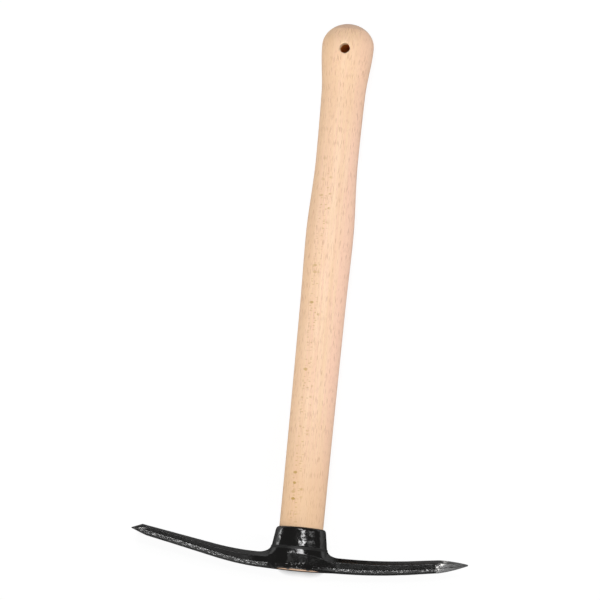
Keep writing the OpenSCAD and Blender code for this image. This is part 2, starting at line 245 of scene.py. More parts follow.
class Wire:
    """Output of a node. Arithmetic on it adds math nodes to its tree."""

    def __init__(self, graph, socket):
        self.graph, self.socket = graph, socket

    __add__, __sub__, __mul__, __truediv__ = map(operation, ("ADD", "SUBTRACT", "MULTIPLY", "DIVIDE"))
    __radd__, __rsub__, __rmul__ = (operation(kind, True) for kind in ("ADD", "SUBTRACT", "MULTIPLY"))
    __abs__, most, fraction, sine, cosine, root, sign = map(
        operation, ("ABSOLUTE", "MAXIMUM", "FRACT", "SINE", "COSINE", "SQRT", "SIGN")
    )

    def step(self, low, high, bottom=0.0, top=1.0):
        """Smooth step from low to high."""
        inputs = {"Value": self, "From Min": low, "From Max": high, "To Min": bottom, "To Max": top}
        return self.graph.wire("ShaderNodeMapRange", inputs, "Result", interpolation_type="SMOOTHSTEP")


class Graph:
    """Adds nodes to a tree and joins them."""

    def __init__(self, tree):
        self.tree = tree

    def feed(self, socket, value):
        """Links a wire to a socket, or sets the socket to any other value. Colours are opaque."""
        if isinstance(value, Wire):
            self.tree.links.new(value.socket, socket)
        elif socket.type == "RGBA":
            socket.default_value = (*value[:3], 1.0)
        else:
            socket.default_value = value

    def fill(self, sockets, values):
        """Feeds sockets that are picked by name or place."""
        for key, value in values.items():
            self.feed(sockets[key], value)

    def node(self, kind, inputs=None, **settings):
        made = self.tree.nodes.new(kind)
        for name, value in settings.items():
            setattr(made, name, value)
        self.fill(made.inputs, inputs or {})
        return made

    def wires(self, made):
        """All outputs of a node by name."""
        return {socket.name: Wire(self, socket) for socket in made.outputs if socket.name}

    def wire(self, kind, inputs=None, output=0, **settings):
        """One output of a new node."""
        return Wire(self, self.node(kind, inputs, **settings).outputs[output])

    def group(self, tree, inputs):
        """Outputs of a node group that is placed in this tree."""
        return self.wires(self.node(tree.bl_idname.replace("Tree", "Group"), inputs, node_tree=tree))

    def math(self, kind, *values, clamp=False):
        return self.wire("ShaderNodeMath", dict(enumerate(values)), operation=kind, use_clamp=clamp)

    def vector_math(self, kind, *values, output="Vector"):
        return self.wire("ShaderNodeVectorMath", dict(enumerate(values)), output, operation=kind)

    def length(self, vector):
        return self.vector_math("LENGTH", vector, output="Value")

    def combine(self, x, y, z):
        return self.wire("ShaderNodeCombineXYZ", {"X": x, "Y": y, "Z": z})

    def separate(self, vector):
        return list(self.wires(self.node("ShaderNodeSeparateXYZ", {"Vector": vector})).values())

    def tint(self, factor, first, second):
        """Mix of two colours."""
        return self.wire("ShaderNodeMix", {0: factor, 6: first, 7: second}, 2, data_type="RGBA")

    def noise(self, vector, scale, detail=2.0, roughness=0.5):
        """Noise with one scale, or with a scale for each axis."""
        if not isinstance(scale, float):
            vector, scale = self.vector_math("MULTIPLY", vector, scale), 1.0
        inputs = {"Vector": vector, "Scale": scale, "Detail": detail, "Roughness": roughness}
        return self.wire("ShaderNodeTexNoise", inputs)


def new_graph(owner):
    """Graph of a material's or a world's emptied tree."""
    owner.use_nodes = True
    owner.node_tree.nodes.clear()
    return Graph(owner.node_tree)


def new_group(name, kind, inputs, outputs):
    """Starts a node group with named sockets and returns its graph, inputs and outputs."""
    tree = bpy.data.node_groups.new(name, kind)
    for side, sockets in (("INPUT", inputs), ("OUTPUT", outputs)):
        for label, socket_type in sockets:
            tree.interface.new_socket(name=label, in_out=side, socket_type="NodeSocket" + socket_type)
    graph = Graph(tree)
    return graph, graph.wires(graph.node("NodeGroupInput")), graph.node("NodeGroupOutput").inputs


def shared_group(name, build):
    """Node group of a name, built where there is none yet."""
    return bpy.data.node_groups.get(name) or build(name)


# Shared shader groups

STROKE_CORE = 0.55


def grain_strokes(name):
    """Short strokes of one size, strewn at random: pores along the grain or flecks across it."""
    graph, given, made = new_group(
        name, "ShaderNodeTree",
        [("Place", "Vector"), ("Spacing", "Vector"), ("Size", "Float"), ("Share", "Float")],
        [("Mask", "Float"), ("Chance", "Float")],
    )
    spot = graph.vector_math("DIVIDE", given["Place"], given["Spacing"])
    cells = graph.node("ShaderNodeTexVoronoi", {"Vector": spot, "Scale": 1.0}, voronoi_dimensions="2D")
    cells = graph.wires(cells)
    pick, chance, _ = graph.separate(cells["Color"])
    near = cells["Distance"].step(given["Size"], given["Size"] * STROKE_CORE)
    graph.fill(made, {"Mask": near * graph.math("LESS_THAN", pick, given["Share"]), "Chance": chance})
    return graph.tree


def ground_steel(name):
    """Bare ground steel: colour, roughness and height with fine scratches."""
    graph, given, made = new_group(
        name, "ShaderNodeTree",
        [("Place", "Vector"), ("Scratch", "Vector"), ("Clean", "Color"), ("Stained", "Color")],
        [("Color", "Color"), ("Roughness", "Float"), ("Height", "Float")],
    )
    scratch = graph.noise(given["Place"], given["Scratch"], 3.0, 0.65)
    blotch = graph.noise(given["Place"], 0.16, 3.0, 0.6)
    stain = scratch.step(0.35, 0.75) + blotch.step(0.45, 0.75)
    graph.fill(made, {
        "Color": graph.tint(stain * 0.5, given["Clean"], given["Stained"]),
        "Roughness": scratch.step(0.2, 0.8, 0.30, 0.46),
        "Height": scratch,
    })
    return graph.tree


def strokes(graph, place, spacing, size, share):
    """Strewn strokes in a material: their mask, and a chance that is even over each stroke."""
    inputs = {"Place": place, "Spacing": spacing, "Size": size, "Share": share}
    return graph.group(shared_group("Grain strokes", grain_strokes), inputs).values()


def steel(graph, place, scratch, clean, stained):
    """Ground steel in a material: its colour, roughness and height."""
    inputs = {"Place": place, "Scratch": scratch, "Clean": clean, "Stained": stained}
    return graph.group(shared_group("Ground steel", ground_steel), inputs).values()


# Materials. Places and sizes in them are millimetres about the middle of the collar's rim.

# Heart of the growth rings, far outside the stick, and rings in a millimetre on its sides and on its end grain
HEART = (62.0, 0.0, -38.0)
RINGS_ON_SIDE, RINGS_ON_END = 0.17, 0.4
# Slow wander of the grain, raggedness of the edges of its browner and pinker growth, and radius of the stick
WANDER = 5.0
RAGGED_GROWTH = 14.0
SKIN_RADIUS = 17.0
# Pores: spacing, share of the places that have one, faintest and strongest
PORE_SIZE = 0.25
PORES = (((0.85, 13.0, 1.0), 0.6, 0.1, 0.8), ((0.55, 7.0, 1.0), 0.7, 0.05, 0.45))
# Ray flecks: spacing, share, strongest. They lie down a line left of the middle, and are faint near the knob
FLECK_SIZE = 0.3
FLECKS = (((5.5, 2.2, 1.0), 0.5, 0.42), ((10.0, 5.0, 1.0), 0.13, 0.95))
FLECK_LINE = -5.5
# Raggedness of the lacquer's border near the point
RAGGED_BORDER = 14.0
# Scratches of steel that is ground along the arms, or rolled along the handle
GROUND, ROLLED = (0.04, 1.6, 1.6), (1.8, 0.08, 1.8)


def new_material(name):
    """Starts a material and returns it with its graph, its shader and its coordinates."""
    material = bpy.data.materials.new(name)
    graph = new_graph(material)
    shader = graph.node("ShaderNodeBsdfPrincipled")
    graph.node("ShaderNodeOutputMaterial", {"Surface": Wire(graph, shader.outputs[0])})
    place = graph.wire("ShaderNodeMapping", {
        "Vector": graph.wire("ShaderNodeTexCoord", output="Object"),
        "Scale": (1.0 / MM,) * 3,
        "Location": tuple(-axis / MM for axis in RIM),
    })
    return material, graph, shader, place


def bump(graph, height, strength, distance):
    """Normal from a height."""
    return graph.wire("ShaderNodeBump", {"Height": height, "Strength": strength, "Distance": distance})


def beech_material(finish, handle):
    """Sanded beech: pale, with short pores along the grain and ray flecks down one line."""
    material, graph, shader, place = new_material("sanded_beech")
    x, y, z = graph.separate(place)
    # Slow wander of the grain
    shift = (graph.noise(place, (0.05, 0.004, 0.05)) - 0.5) * WANDER
    grain = graph.combine(x + shift, y, z + shift)
    # Growth rings
    heart = graph.vector_math("SUBTRACT", grain, HEART)
    radius = graph.length(graph.vector_math("MULTIPLY", heart, (1.0, 0.0, 1.0)))
    ring = (radius * RINGS_ON_SIDE).fraction()
    # Broad streaks, narrow streaks and fine lines along the grain
    broad = graph.noise(grain, (0.11, 0.0035, 0.11))
    streak = graph.noise(grain, (0.5, 0.010, 0.5), 3.0, 0.6)
    fine = graph.noise(grain, (1.6, 0.025, 1.6), 2.0, 0.6)
    tone = ring.step(0.35, 1.0, 0.0, 0.2)
    for layer, low, high, most in ((broad, 0.35, 0.7, 0.3), (streak, 0.42, 0.62, 0.35), (fine, 0.42, 0.6, 0.7)):
        tone = tone + layer.step(low, high, 0.0, most)
    # Lines that lean to yellow or to pink
    hue = graph.noise(grain, (0.7, 0.012, 0.7), 2.0, 0.6)
    # Browner growth along the chisel's side, pinker along the point's side
    side = x + (streak - 0.5) * RAGGED_GROWTH
    # Browner towards the head and the knob
    ends = y.step(140.0, 0.0, 0.0, 0.75).most(y.step(320.0, 430.0, 0.0, 0.35))
    # Pores along the grain, on the skin rolled out flat
    turn = graph.math("ARCTAN2", x, z) * SKIN_RADIUS
    flat = graph.combine(turn + shift, y, 0.0)
    pores = []
    for spacing, share, faintest, strongest in PORES:
        pore, chance = strokes(graph, flat, spacing, PORE_SIZE, share)
        pores.append(pore * chance.step(0.1, 1.0, faintest, strongest))
    pores = pores[0].most(pores[1])
    layers = [
        (tone, finish.beech_warm),
        (hue.step(0.5, 0.62, 0.0, 0.4), finish.beech_yellow),
        (hue.step(0.48, 0.38, 0.0, 0.4), finish.beech_pink),
        (side.step(-9.0, -15.0, 0.0, 0.6), finish.beech_edge),
        (side.step(9.0, 17.0, 0.0, 0.65), finish.beech_pink),
        (ends, finish.beech_edge),
        (pores, finish.beech_pore),
    ]
    # Ray flecks across the grain: many faint ones and a few strong ones
    line = abs(x - FLECK_LINE).step(7.5, 2.5) * y.step(340.0, 300.0, 0.2, 1.0)
    for spacing, share, strongest in FLECKS:
        fleck, chance = strokes(graph, flat, spacing, FLECK_SIZE, share)
        layers.append((fleck * line * chance.step(0.0, 1.0, 0.4 * strongest, strongest), finish.beech_fleck))
    # Painted shade on the wall deeper in the hanging hole, and painted light on its rim at the mouth on the near
    # side
    top, foot = handle.top / MM, -handle.tenon_depth / MM
    hole_y, hole_r = top - handle.hole_drop / MM, handle.hole_radius / MM
    away = graph.length(graph.combine(x, y - hole_y, 0.0))
    wall = graph.tint(z.step(11.5, 9.5), finish.beech_rim_painted_light, finish.beech_hole_painted_shade)
    layers.append((away.step(hole_r + 0.3, hole_r + 0.05, 0.0, 0.95), wall))
    # End grain on the dome and on the tenon's end
    end = y.step(top - 7.4, top - 5.0).most(y.step(foot + 0.2, foot + 0.1))
    late = (radius * RINGS_ON_END).fraction().step(0.5, 1.0, 0.0, 0.4)
    dots = graph.noise(place, 1.1).step(0.45, 0.75, 0.0, 0.5)
    layers.append((end * 0.75, graph.tint(late + dots, finish.beech_end, finish.beech_pore)))
    wood = finish.beech_pale
    for mask, shade in layers:
        wood = graph.tint(mask, wood, shade)
    graph.fill(shader.inputs, {
        "Base Color": wood, "Roughness": streak.step(0.3, 0.8, 0.46, 0.58), "Specular IOR Level": 0.35,
        "Normal": bump(graph, fine * 0.5 - pores, 0.2, 0.0003),
    })
    return material


def wedge_wood_material(finish):
    """Sawn hardwood of the wooden wedge."""
    material, graph, shader, place = new_material("wedge_hardwood")
    _, y, z = graph.separate(place)
    streak = graph.noise(place, (0.5, 0.05, 1.1), 4.0, 0.6)
    wood = graph.tint(streak.step(0.3, 0.7), finish.wedge_pale, [0.75 * c for c in finish.wedge_pale])
    pore, chance = strokes(graph, graph.combine(z, y, 0.0), (0.8, 5.0, 1.0), 0.36, 0.7)
    graph.fill(shader.inputs, {
        "Base Color": graph.tint(pore * chance.step(0.0, 1.0, 0.3, 0.7), wood, finish.wedge_dark),
        "Roughness": streak.step(0.3, 0.8, 0.6, 0.75), "Normal": bump(graph, streak - pore, 0.35, 0.0004),
    })
    return material


def wedge_steel_material(finish):
    """Rolled steel of the small wedges."""
    material, graph, shader, place = new_material("wedge_steel")
    stained = [0.7 * c for c in finish.wedge_steel]
    shade, roughness, height = steel(graph, place, ROLLED, finish.wedge_steel, stained)
    graph.fill(shader.inputs, {
        "Base Color": shade, "Metallic": 1.0, "Roughness": roughness, "Normal": bump(graph, height, 0.3, 0.0003),
    })
    return material


def lacquer_material(finish, head):
    """Gloss black lacquer over forged steel, ground bare at the point."""
    material, graph, shader, place = new_material("forged_lacquer")
    form = HeadForm(head)
    x, y, z = graph.separate(place)
    lean = graph.separate(graph.wire("ShaderNodeTexCoord", output="Normal"))[1]
    foot, shoulder, tip = -head.eye_height / MM, -head.collar_height / MM, -head.chisel_reach / MM
    near_eye = abs(x).step(36.0, 30.0)
    # Rough scale of the forge on the lower chamfers of the arms, and in the middle of the eye's foot
    off_eye = x.step(-24.0, -30.0).most(x.step(14.0, 18.0))
    off_tip = x.step(tip + 3.0, tip + 22.0, 0.4, 1.0)
    scale = graph.wire("ShaderNodeAttribute", output="Fac", attribute_name="forge_scale") * (off_eye * off_tip)
    scale = scale.most(abs(x - 2.0).step(8.0, 5.0) * y.step(foot + 6.0, foot + 4.8))
    # Bare steel past a ragged border near the point
    ragged = graph.noise(place, (0.25, 0.5, 0.5), 4.0, 0.65) - 0.5
    border = form.point_at / MM
    upper, lower = (level / MM for level in form.point_section(form.point_at)[:2])
    reach = x + ragged * RAGGED_BORDER - y.step((upper + lower) / 2, upper - 1.5, 0.0, 4.5)
    bare = reach.step(border - 0.3, border + 0.3)
    # Bright chips just past the border
    chip = reach.step(border + 5.0, border + 3.0) * graph.noise(place, 0.2, 2.0, 0.6).step(0.52, 0.6)
    # Worn stroke along the chisel's upper edge
    worn_from, worn_to = (share * head.bevel_length - head.chisel_reach for share in (0.55, 1.8))
    high, low = (form.chisel_section(-at)[0] / MM - 2.4 for at in (worn_from, worn_to))
    along = x.step(worn_from / MM, worn_to / MM)
    off_edge = abs(y - (along * (low - high) + high))
    worn = along.step(0.0, 0.1) * along.step(1.0, 0.2) * (off_edge + ragged).step(0.6, 0.2) * z.step(1.0, 2.0)
    bare, chip = bare.most(worn), chip.most(worn)
    lacquered = 1.0 - bare
    ground, ground_roughness, ground_height = steel(graph, place, GROUND, finish.steel, finish.steel_dark)
    # Clouded gloss, duller in the crease under the collar and on the crests of the arms
    crease = abs(y - (shoulder - 1.8)).step(1.5, 0.8) * near_eye
    satin = (1.0 - near_eye) * (1.0 - scale)
    crest = lean.step(0.05, 0.2) * lean.step(0.7, 0.6)
    gloss = graph.noise(place, 0.12, 3.0, 0.6).step(0.3, 0.7, 0.11, 0.18)
    gloss = gloss + crease * 0.4 + satin * 0.03 + crest * satin * 0.4
    # Painted shade: the downward strip between the rough band and the foot is made a black metal that mirrors less
    # than the lacquer, standing in for the shade that darkens it
    painted_foot_shade = lean.step(-0.4, -0.6) * lean.step(-0.95, -0.85) * (1.0 - scale) * 0.85
    # Skin of the forging under the lacquer, roughest in the scale and wavy on the collar
    collar = y.step(shoulder - 1.5, shoulder + 0.5) * near_eye
    under = lean.step(-0.8, -0.95)
    grit = graph.noise(place, (0.5, 0.36, 0.36), 1.0) * (scale.most(under * 0.5) * 1.2 + collar * 0.03 + 0.08)
    waves = graph.noise(place, 0.15, 1.5) * (collar.most(under) * 0.6 + near_eye * 0.12 + 0.2)
    height = (grit + waves) * lacquered + ground_height * bare * 0.15
    # Metallic carries the bare steel and the painted shade of the downward strip under the arms
    graph.fill(shader.inputs, {
        "Base Color": graph.tint(bare, finish.lacquer, graph.tint(chip, ground, finish.steel_chip)),
        "Metallic": bare.most(painted_foot_shade), "Roughness": gloss * lacquered + ground_roughness * bare,
        "Normal": bump(graph, height, 1.0, 0.0006),
    })
    return material


# Meshes

SHARP_WOOD, SHARP_STEEL = math.radians(40), math.radians(38)


def linked(name, data):
    """New object in the scene."""
    made = bpy.data.objects.new(name, data)
    bpy.context.scene.collection.objects.link(made)
    return made


def mesh_of(name, shape):
    """Mesh of a bmesh, which is freed."""
    mesh = bpy.data.meshes.new(name)
    shape.to_mesh(mesh)
    shape.free()
    return mesh


def new_piece(name, mesh, slot, *nodes):
    """Makes a finished piece that rides on the part and stands for CAD nodes."""
    piece = linked(name, mesh)
    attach(piece, "root")
    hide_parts(*nodes)


def evaluated_mesh(carrier):
    """Plain mesh of an object with its modifiers applied. The object is removed."""
    graph = bpy.context.evaluated_depsgraph_get()
    mesh = bpy.data.meshes.new_from_object(carrier.evaluated_get(graph))
    bpy.data.objects.remove(carrier)
    return mesh


def open_edges_and_volume(mesh):
    """Number of open edges, and the volume, which is positive where the faces point outwards."""
    shape = bmesh.new()
    shape.from_mesh(mesh)
    found = sum(not edge.is_manifold for edge in shape.edges), shape.calc_volume(signed=True)
    shape.free()
    return found


def check_closed(mesh, name):
    """Stops the script where a piece is open or inside out."""
    open_edges, volume = open_edges_and_volume(mesh)
    if open_edges or volume <= 0:
        raise RuntimeError(f"{name} is not a closed solid: {open_edges} open edges, volume {volume}")


def smooth_shaded(mesh, sharp_from):
    """Shades a mesh smooth, with edges over an angle left sharp."""
    mesh.shade_smooth()
    mesh.set_sharp_from_angle(angle=sharp_from)


def carrier_with_tree(name, tree, values):
    """Object that carries a geometry tree, with the tree's named inputs set."""
    carrier = linked(name, bpy.data.meshes.new(name))
    modifier = carrier.modifiers.new(name, "NODES")
    modifier.node_group = tree
    for item in tree.interface.items_tree:
        if item.in_out == "INPUT":
            modifier[item.identifier] = values[item.name]
    return carrier


# Handle and wedges in geometry nodes

STATIONS = ("Tenon end", "Rim", "Shank", "Belly", "Waist", "Flare", "Knob")
MEASURES = ("place", "width", "thickness")
HOLE_INPUTS = ("Hole place", "Hole radius", "Hole round")
WEDGE_INPUTS = (
    "Wood head", "Wood tip", "Wood length", "Wood width",
    "Steel head", "Steel tip", "Steel length", "Steel width", "Steel gap", "Clearance",
)
STRETCH_INPUTS = ("Place", "From", "To", "Size from", "Size to", "Slope from", "Slope to")
SLOPE_INPUTS = ("Place 0", "Size 0", "Place 1", "Size 1", "Place 2", "Size 2")
HANDLE_SIDES = 112
HOLE_SIDES = 96
END_RINGS, SIDE_RINGS, DOME_RINGS = 5, 380, 40
SEAM = 0.01 * MM
# Tools reach past what they cut
DRILL_LENGTH = 100 * MM
SLOT_WIDTH = 60 * MM
OVERRUN = 1 * MM


def tree_of_numbers(name, labels, output):
    """Starts a geometry tree whose inputs are numbers."""
    return new_group(name, "GeometryNodeTree", [(label, "Float") for label in labels], [output])


def stretch_group(name):
    """Change of a size along one stretch of the handle, smooth between two slopes."""
    graph, given, made = tree_of_numbers(name, STRETCH_INPUTS, ("Change", "Float"))
    place, start, end, size_from, size_to, slope_from, slope_to = given.values()
    gap = end - start
    t = graph.math("DIVIDE", place - start, gap, clamp=True)
    u = 1.0 - t
    rise = (size_to - size_from) * (t * t * (t * -2.0 + 3.0))
    swing = gap * (t * u) * (slope_from * u - slope_to * t)
    graph.fill(made, {"Change": rise + swing})
    return graph.tree


def slope_group(name):
    """Slope at a station: level at a widest or narrowest place, and otherwise between its neighbours."""
    graph, given, made = tree_of_numbers(name, SLOPE_INPUTS, ("Slope", "Float"))
    place_0, size_0, place_1, size_1, place_2, size_2 = given.values()
    before, after = (size_1 - size_0) / (place_1 - place_0), (size_2 - size_1) / (place_2 - place_1)
    product = before * after
    mean = product * 2.0 / (before + after)
    graph.fill(made, {"Slope": mean * graph.math("GREATER_THAN", product, 0.0)})
    return graph.tree


def wedge_group(name):
    """Solid wedge: its head lies at the origin and its thin end along +Y, grown on every side."""
    labels = ("Head", "Tip", "Length", "Width", "Grow", "Overrun")
    graph, given, made = tree_of_numbers(name, labels, ("Geometry", "Geometry"))
    head, tip, reach, width, grow, overrun = given.values()
    x, y, z = graph.separate(graph.wire("GeometryNodeInputPosition"))
    share = y + 0.5
    thick = grow * 2.0 + ((tip - head) * share + head)
    along = (reach + grow + overrun) * share - overrun
    graph.fill(made, {"Geometry": graph.wire("GeometryNodeSetPosition", {
        "Geometry": graph.wire("GeometryNodeMeshCube", {"Size": (1.0, 1.0, 1.0)}, "Mesh"),
        "Position": graph.combine(x * thick, along, z * (grow * 2.0 + width)),
    })})
    return graph.tree


def moved(graph, solid, place, turn=0.0):
    """Solid turned about the handle's axis and set at a place."""
    inputs = {"Geometry": solid, "Translation": place, "Rotation": (0.0, turn, 0.0)}
    return graph.wire("GeometryNodeTransform", inputs)


def wedge(graph, given, kind, place, grow=0.0, overrun=0.0, **changed):
    """Wedge of one kind in a tree, set at a place with its head at the tenon's end."""
    inputs = {label: given[f"{kind} {label.lower()}"] for label in ("Head", "Tip", "Length", "Width")}
    inputs |= {"Grow": grow, "Overrun": overrun, **changed}
    solid = graph.group(shared_group("Wedge solid", wedge_group), inputs)["Geometry"]
    return moved(graph, solid, place, math.pi / 2 if kind == "Wood" else 0.0)


def wood_place(graph, given):
    """Place of the wooden wedge."""
    return graph.combine(0.0, given["Tenon end place"], 0.0)


def steel_places(graph, given):
    """Places of the two steel wedges, on the chisel's side and on the point's side."""
    half = given["Steel gap"] * 0.5
    return [graph.combine(half * side, given["Tenon end place"], 0.0) for side in (-1.0, 1.0)]


def steel_slots(graph, given):
    """Slots of the two steel wedges."""
    return [wedge(graph, given, "Steel", spot, given["Clearance"], OVERRUN) for spot in steel_places(graph, given)]


def cut(graph, solid, tools):
    """Solid with the tools cut out of it."""
    made = graph.node("GeometryNodeMeshBoolean", {"Mesh 1": solid}, operation="DIFFERENCE", solver="EXACT")
    for tool in tools:
        graph.feed(made.inputs["Mesh 2"], tool)
    return Wire(graph, made.outputs["Mesh"])


def finish_tree(graph, made, solid, material):
    """Ends a tree with the rim's place, plain geometry and a material."""
    real = graph.wire("GeometryNodeRealizeInstances", {"Geometry": moved(graph, solid, tuple(RIM))})
    graph.fill(made, {"Geometry": graph.wire("GeometryNodeSetMaterial", {"Geometry": real, "Material": material})})
    return graph.tree


def handle_tree(material):
    """Oval handle lofted through its stations, with its hanging hole and the wedges' slots."""
    labels = [f"{station} {what}" for station in STATIONS for what in MEASURES]
    labels += ["Top", *HOLE_INPUTS, *WEDGE_INPUTS]
    graph, given, made = tree_of_numbers("Handle loft", labels, ("Geometry", "Geometry"))
    # Grid with its rings from the tenon's end along the side and over the dome
    rings = END_RINGS + SIDE_RINGS + DOME_RINGS
    grid = graph.wire("GeometryNodeMeshGrid", {
        "Size X": 1.0, "Size Y": 1.0, "Vertices X": rings + 1, "Vertices Y": HANDLE_SIDES + 1,
    }, "Mesh")
    x, y, z = graph.separate(graph.wire("GeometryNodeInputPosition"))
    ring = (x + 0.5) * float(rings)
    turn = (y + 0.5) * (2 * math.pi)
    end_share, side_share, dome_share = (
        graph.math("DIVIDE", ring - float(start), float(count), clamp=True)
        for start, count in ((0, END_RINGS), (END_RINGS, SIDE_RINGS), (END_RINGS + SIDE_RINGS, DOME_RINGS))
    )
    dome_turn = dome_share * (math.pi / 2)
    end, knob = given["Tenon end place"], given["Knob place"]
    place = (knob - end) * side_share + end + (given["Top"] - knob) * dome_turn.sine()
    draw_in = end_share * dome_turn.cosine()
    stretch, slope = shared_group("Smooth stretch", stretch_group), shared_group("Station slope", slope_group)

    def half_along(what):
        """Half of a size of the handle at each place, through all its stations."""
        stations = [(given[f"{name} place"], given[f"{name} {what}"]) for name in STATIONS]
        (place_0, total), (place_1, size_1) = stations[:2]
        chord = (size_1 - total) / (place_1 - place_0)
        slopes = [0.0]
        for before, here, after in zip(stations[1:], stations[2:], stations[3:]):
            slopes.append(graph.group(slope, dict(zip(SLOPE_INPUTS, (*before, *here, *after))))["Slope"])
        slopes.append(0.0)
        ends = [(chord, chord), *zip(slopes, slopes[1:])]
        for (start, size_from), (stop, size_to), leans in zip(stations, stations[1:], ends):
            values = (place, start, stop, size_from, size_to, *leans)
            total = total + graph.group(stretch, dict(zip(STRETCH_INPUTS, values)))["Change"]
        return total * 0.5 * draw_in

    oval = graph.combine(half_along("width") * turn.cosine(), place, half_along("thickness") * turn.sine())
    loft = graph.wire("GeometryNodeSetPosition", {"Geometry": grid, "Position": oval})
    closed = graph.wire("GeometryNodeMergeByDistance", {"Geometry": loft, "Distance": SEAM})
    # Hanging hole and slots, then the hole's rounded mouth
    hole_place, hole_radius, hole_round = (given[label] for label in HOLE_INPUTS)
    drill = graph.wire("GeometryNodeMeshCylinder", {
        "Vertices": HOLE_SIDES, "Side Segments": 1, "Radius": hole_radius, "Depth": DRILL_LENGTH,
    }, "Mesh")
    wood_slot = wedge(
        graph, given, "Wood", wood_place(graph, given), given["Clearance"], OVERRUN, Width=SLOT_WIDTH
    )
    tools = [moved(graph, drill, graph.combine(0.0, hole_place, 0.0)), wood_slot, *steel_slots(graph, given)]
    away = graph.length(graph.combine(x, y - hole_place, 0.0))
    lean = graph.math("DIVIDE", hole_radius + hole_round - away, hole_round, clamp=True)
    sink = (1.0 - (1.0 - lean * lean).root()) * hole_round
    mouth = graph.wire("GeometryNodeSetPosition", {
        "Geometry": cut(graph, closed, tools), "Offset": graph.combine(0.0, 0.0, sink * z.sign() * -1.0),
    })
    return finish_tree(graph, made, mouth, material)


def wedge_tree(name, material, shape):
    """Tree of one wedge, whose shape is drawn by a function."""
    graph, given, made = tree_of_numbers(name, ("Tenon end place", *WEDGE_INPUTS), ("Geometry", "Geometry"))
    return finish_tree(graph, made, shape(graph, given), material)


def wooden_wedge(graph, given):
    """Wooden wedge with the slots that the steel wedges have cut in it."""
    return cut(graph, wedge(graph, given, "Wood", wood_place(graph, given)), steel_slots(graph, given))


def chisel_side_wedge(graph, given):
    """Steel wedge on the chisel's side."""
    return wedge(graph, given, "Steel", steel_places(graph, given)[0])


def point_side_wedge(graph, given):
    """Steel wedge on the point's side."""
    return wedge(graph, given, "Steel", steel_places(graph, given)[1])


def tree_values(handle, wedges):
    """Named inputs of the geometry trees."""
    rows = [
        (-handle.tenon_depth, handle.tenon_width, handle.tenon_foot),
        (0.0, handle.tenon_width, handle.tenon_thickness),
        *([getattr(handle, f"{name.lower()}_{what}") for what in MEASURES] for name in STATIONS[2:-1]),
        (handle.top - handle.dome, handle.knob_width, handle.knob_thickness),
    ]
    values = {
        f"{station} {what}": value for station, row in zip(STATIONS, rows) for what, value in zip(MEASURES, row)
    }
    holes = (handle.top - handle.hole_drop, handle.hole_radius, handle.hole_round)
    values |= {"Top": handle.top, **dict(zip(HOLE_INPUTS, holes))}
    return values | {label: getattr(wedges, label.lower().replace(" ", "_")) for label in WEDGE_INPUTS}


# Forged head

CHAMFER_SHARE = 0.4
UNDER_SHARE = 0.45
ROUND_SHARE = 0.12
LEAST_LAND = 0.2 * MM
POINT_FULLNESS = 1.5
FLARE_LATENESS = 1.5
RING_STEP = 0.7 * MM
CORNER_STEPS = 4
# Points along the eight faces of a ring: side, upper chamfer, top, chamfer, side, chamfer, foot, chamfer
FACE_STEPS = (9, 6, 14, 6, 9, 6, 14, 6)
COLLAR_SIDES = 144
RIM_STEPS = 8
EYE_STEP = 2 * MM
# Spacing of the hollows and the dents, and the run to each end over which they fade
SWELL_SPACING, DENT_SPACING = 16 * MM, 5.5 * MM
DENT_SHIFT = Vector((7.0, 3.0, 5.0))
FADE = 18 * MM
# Skin within this share of the eye's oval is the wall of the eye, which stays smooth
EYE_WALL = 1.03
# Rough scale: how far the skin looks down and the run to full, then how far up the lower chamfer and the run
DOWN_FROM, DOWN_RUN = 0.15, 0.3
CHISEL_UP_FROM, POINT_UP_FROM, UP_RUN = 0.12, 0.22, 0.2


def mix(a, b, t):
    return a + (b - a) * t


def held(t):
    return max(0.0, min(1.0, t))


def ease(t):
    u = held(t)
    return u * u * (3 - 2 * u)


def bend(x, at, r, sweep):
    """Rise of an arm that is straight to a place, bends with a radius and runs on at an angle."""
    bend_end = at + r * math.sin(sweep)
    if x <= at:
        return 0.0
    if x < bend_end:
        return r - math.sqrt(r * r - (x - at) ** 2)
    return r * (1 - math.cos(sweep)) + (x - bend_end) * math.tan(sweep)


